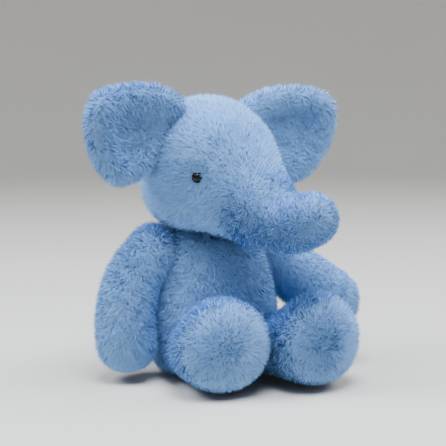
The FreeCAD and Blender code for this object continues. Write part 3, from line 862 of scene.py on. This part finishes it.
def eye_place(side):
    """Where the bead's middle comes through the pile, on the line from its washer."""
    low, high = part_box(side + "_eye_washer")
    bead_low, bead_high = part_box(side + "_eye")
    washer = 0.5 * (np.array(low) + np.array(high))
    eye = 0.5 * (np.array(bead_low) + np.array(bead_high))
    way = unit(eye - washer)
    return washer + way * EYE_AHEAD


def near_eyes(roots):
    """Distance of each root from the nearer eye's middle, and the way out from it."""
    places = [eye_place(side) for side in ("right", "left")]
    gaps = np.stack([np.linalg.norm(roots - p, axis=1) for p in places])
    nearer = np.array(places)[gaps.argmin(0)]
    return gaps.min(0), unit(roots - nearer)


def head_flow(roots, normals):
    """Combed back and down over the head, along the trunk towards its tip, outwards over the
    tip's end, and outwards from the eyes."""
    ahead = ((roots - HEAD) @ FACE_WAY)[:, None]
    on_trunk = np.clip((ahead - 0.045) / 0.03, 0, 1)
    flow = (-FACE_WAY * 0.75 - UP * 0.5) * (1 - on_trunk) + TIP_WAY * 0.8 * on_trunk
    past = np.clip(((roots - TIP) @ TIP_WAY)[:, None] / (12 * MM), 0, 1)
    flow = flow * (1 - past) + unit(roots - TIP) * past
    gap, out = near_eyes(roots)
    close = np.clip(1 - (gap - EYE_BARE) / (14 * MM), 0, 1)[:, None]
    return flow * (1 - close) + out * 1.7 * close


def head_length(roots, normals):
    """Shorter round the eyes, and none on them, and a little shorter along the trunk."""
    gap, _ = near_eyes(roots)
    eye = np.clip((gap - EYE_BARE) / (9 * MM), 0, 1) * 0.6 + 0.4
    ahead = np.clip(((roots - TRUNK_PIVOT) @ FORWARD + 10 * MM) / (60 * MM), 0, 1)
    return np.where(gap < EYE_BARE, 0.0, eye) * (1 - 0.4 * ahead)


def head_split(roots):
    """The roots of the trunk's, the back's, the left's and the right's pile."""
    ahead = (roots - HEAD) @ FACE_WAY
    left = (roots - HEAD) @ ACROSS
    trunk = ahead > TRUNK_FROM
    back = ahead < BACK_TO
    return {"trunk_pile": trunk, "head_back_pile": back,
            "head_left_pile": ~trunk & ~back & (left > 0),
            "head_right_pile": ~trunk & ~back & (left <= 0)}


def limb_length(roots, normals):
    """Pressed short where it faces the floor and is near it."""
    under = np.clip(-normals[:, 2], 0, 1) * np.clip(1.3 - roots[:, 2] / (35 * MM), 0, 1)
    return 0.95 - 0.5 * under


def raised_arm_length(roots, normals):
    """Flatter on top of the arm that reaches out, and fuller under it."""
    return np.where(normals[:, 2] > 0, 0.95 - 0.4 * normals[:, 2], 0.95 - 0.6 * normals[:, 2])


def limb_flow(way):
    """Along a limb, and down."""
    return lambda roots, normals: np.tile(way, (len(roots), 1)) - UP * 0.35


def foot_flow(side):
    """Along the leg towards the foot, and outwards from the middle of the sole."""
    _, way, _ = leg_way(side)
    middle = vec(*FEET[side], FOOT_RADIUS)

    def flow(roots, normals):
        ahead = (roots - middle) @ way
        out = roots - middle
        out = unit(out - (out @ way)[:, None] * way)
        sole = np.clip(ahead / (FOOT_DEPTH * 0.7), 0, 1)[:, None]
        return way * (1 - sole) * 0.6 + out * sole * 0.8 - UP * 0.2

    return flow


def ear_flow(side):
    """Down over both faces, and a little outwards from the ear's root."""
    sign = -1 if side == "right" else 1
    root = pivot(side + "_ear_flap")

    def flow(roots, normals):
        out = unit(roots - (root - ACROSS * sign * 0.02))
        return out * 0.35 - UP * 0.75

    return flow


# ---------------------------------------------------------------- the whole elephant
CLOTH = cloth_finish()
PILE_FINISH = pile_finish()
make_camera()
make_studio()

body = make_body()
finish_skin(body)
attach(body, "torso")
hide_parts("body_front_panel", "body_back_panel", "seat_panel")

head = make_head()
finish_skin(head)
trunk_start = TRUNK_PIVOT - FACE_WAY * 16 * MM
trunk_end = TRUNK_PIVOT + FACE_WAY * 18 * MM
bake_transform(head)
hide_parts("head_centre_panel", "head_left_panel", "head_right_panel",
            "trunk_left_panel", "trunk_right_panel")


def body_flow(roots, normals):
    return np.tile(-UP * 0.8, (len(roots), 1))


def body_split(roots):
    return {"body_front_pile": roots[:, 1] < 0, "body_back_pile": roots[:, 1] >= 0}


for piece in grow("body_pile", body, body_flow, seed=3, split=body_split).values():
    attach(piece, "torso")
for part, piece in grow("head_pile", head, head_flow, head_length, seed=4,
                        split=head_split).items():
    if part == "trunk_pile":
        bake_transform(piece)
    else:
        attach(piece, "head")

for order, side in enumerate(("right", "left")):
    ear = make_ear(side)
    finish_skin(ear)
    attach(ear, side + "_ear")
    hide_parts(side + "_ear_front_panel", side + "_ear_back_panel")
    for piece in grow(side + "_ear_pile", ear, ear_flow(side), seed=10 + order).values():
        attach(piece, side + "_ear")
    arm = make_arm(side)
    finish_skin(arm)
    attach(arm, side + "_arm")
    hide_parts(side + "_arm_outer_panel", side + "_arm_inner_panel")
    way = unit(ARM_LINES[side][-1] - ARM_LINES[side][0])
    arm_length = limb_length if side == "right" else raised_arm_length
    for piece in grow(side + "_arm_pile", arm, limb_flow(way * 0.7), arm_length,
                      seed=20 + order).values():
        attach(piece, side + "_arm")
    leg = make_leg(side)
    finish_skin(leg)
    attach(leg, side + "_leg")
    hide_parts(side + "_leg_upper_panel", side + "_leg_lower_panel",
                side + "_foot_sole")
    for piece in grow(side + "_leg_pile", leg, foot_flow(side), limb_length,
                      seed=30 + order).values():
        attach(piece, side + "_leg")

tail = make_tail()
finish_skin(tail)
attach(tail, "tail")
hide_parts("tail_cover")
for piece in grow("tail_pile", tail, limb_flow(-UP * 0.6), seed=40).values():
    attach(piece, "tail")

# the frame's own nodes that stay in view get materials by their slots
FILLING = loose_finish("polyester_filling", (0.72, 0.72, 0.70, 1), (0.92, 0.92, 0.90, 1),
                       420.0, 0.0012)
BEANS = loose_finish("bean_pellets", (0.62, 0.62, 0.60, 1), (0.90, 0.90, 0.88, 1),
                     520.0, 0.0016)
BAG = woven_finish("bag_weave", (0.66, 0.63, 0.55, 1), (0.86, 0.84, 0.77, 1), 0.0008)
THREAD = woven_finish("sewing_thread", (0.16, 0.30, 0.50, 1), (0.34, 0.54, 0.80, 1), 0.0005)
LABEL = woven_finish("label_weave", (0.78, 0.78, 0.77, 1), (0.92, 0.92, 0.91, 1), 0.0004)
WASHER = loose_finish("washer_plastic", (0.70, 0.70, 0.68, 1), (0.80, 0.80, 0.78, 1),
                      200.0, 0.0002)
BEAD = bead_finish()
BY_SLOT = {"filling": FILLING, "beans": BEANS, "bag_cloth": BAG, "thread": THREAD,
           "label_cloth": LABEL, "eye_washer": WASHER, "eye_bead": BEAD}
for part in frame["record"]["subparts"]:
    finish = BY_SLOT.get(part["material_slot"])
    if finish:
        node = frame["nodes"][part["node"]]
        node.data.materials.clear()
        node.data.materials.append(finish)
